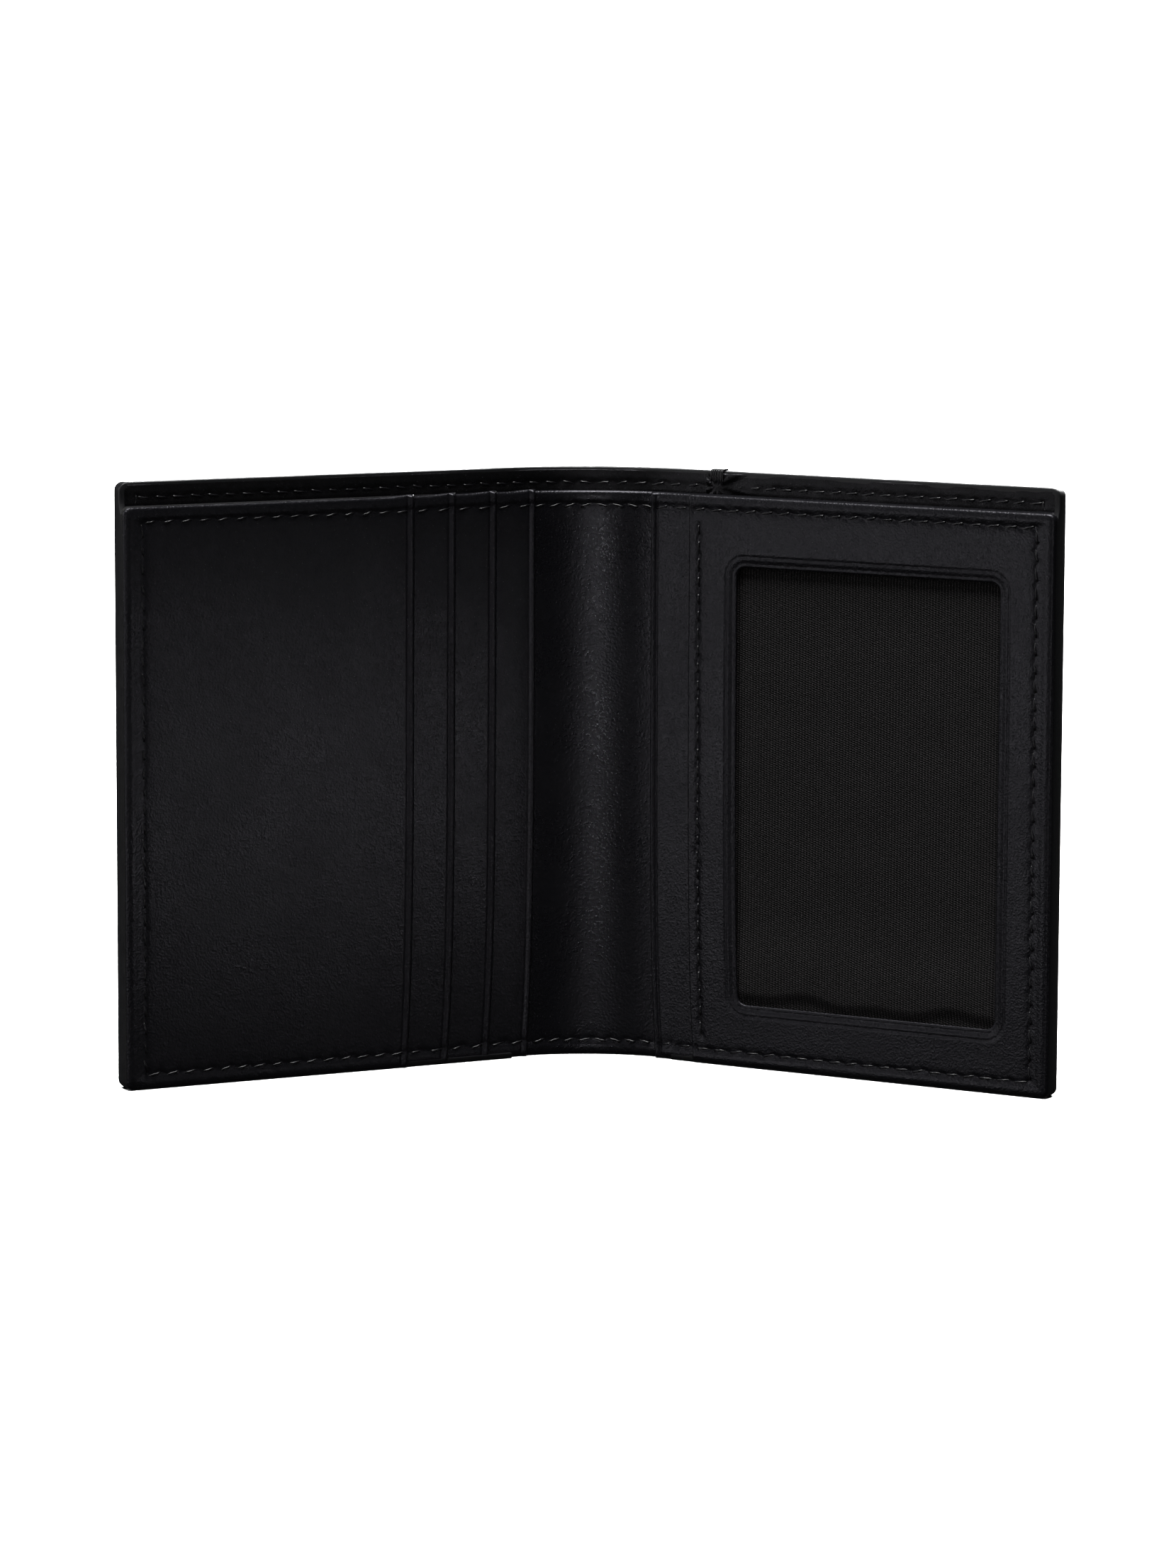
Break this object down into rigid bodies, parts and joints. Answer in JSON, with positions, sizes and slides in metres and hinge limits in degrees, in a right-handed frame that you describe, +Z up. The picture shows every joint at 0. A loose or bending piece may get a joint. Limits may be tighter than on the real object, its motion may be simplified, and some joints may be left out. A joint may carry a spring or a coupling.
{
  "type": "folding wallet",
  "caption": "Dark leather folding wallet standing open on its bottom edge, with upright card pockets on one half, a windowed card pocket on the other, and a full-width banknote compartment.",
  "frame": {"origin": "on the surface the wallet stands on, under the centre of its bounding box", "axes": "+Z up along the fold lines, +X along the open width towards the half with the window, +Y towards the spine, so that the inside faces -Y"},
  "size_m": [0.1546, 0.0396, 0.1004],
  "materials": {
    "cover_leather": "smooth calf leather, near black with a blue cast, soft sheen",
    "inner_leather": "smooth calf leather with a fine grain, near black with a blue cast, soft sheen",
    "lining_leather": "thin lining leather, neutral black, low sheen",
    "edge_paint": "satin edge paint, dark grey",
    "board": "bonded fibre stiffener, matt",
    "lining_cloth": "plain woven lining cloth, matt black",
    "ribbed_cloth": "ribbed lining cloth, brownish black",
    "thread": "waxed polyester thread, black with bright glints"
  },
  "bodies": {
    "left_half": {"cover_left": "cover_leather", "board_left": "board", "lining_left": "lining_leather", "bottom_filler_left": "inner_leather", "side_filler_left": "inner_leather", "divider_left": "lining_cloth", "base_left": "inner_leather", "pocket_facing_4": "inner_leather", "pocket_fabric_4": "lining_cloth", "pocket_facing_3": "inner_leather", "pocket_fabric_3": "lining_cloth", "pocket_facing_2": "inner_leather", "pocket_fabric_2": "lining_cloth", "pocket_front": "inner_leather", "edge_bead_left": "edge_paint", "seam_pockets": "thread", "seam_shell_left": "thread"},
    "spine": {"cover_spine": "cover_leather", "spine_tape": "lining_cloth", "lining_spine": "lining_leather", "bottom_filler_spine": "inner_leather", "divider_spine": "lining_cloth", "base_spine": "inner_leather", "edge_bead_spine": "edge_paint", "seam_spine": "thread"},
    "right_half": {"cover_right": "cover_leather", "board_right": "board", "lining_joint": "lining_leather", "lining_right": "lining_leather", "bottom_filler_right": "inner_leather", "side_filler_right": "inner_leather", "divider_right": "lining_cloth", "base_right": "inner_leather", "window_backing": "ribbed_cloth", "id_pocket_front": "inner_leather", "id_frame": "inner_leather", "bar_tack": "thread", "edge_bead_right": "edge_paint", "seam_right": "thread", "seam_id_frame": "thread", "seam_shell_right": "thread"}
  },
  "joints": [
    {"name": "left_fold", "type": "hinge", "parent": "spine", "child": "left_half", "pos_m": [-0.008, 0.01937, 0.05], "axis": [0, 0, 1], "range_deg": [-27.25, 62.75]},
    {"name": "right_fold", "type": "hinge", "parent": "spine", "child": "right_half", "pos_m": [0.008, 0.01937, 0.05], "axis": [0, 0, -1], "range_deg": [-27.25, 62.75]}
  ]
}
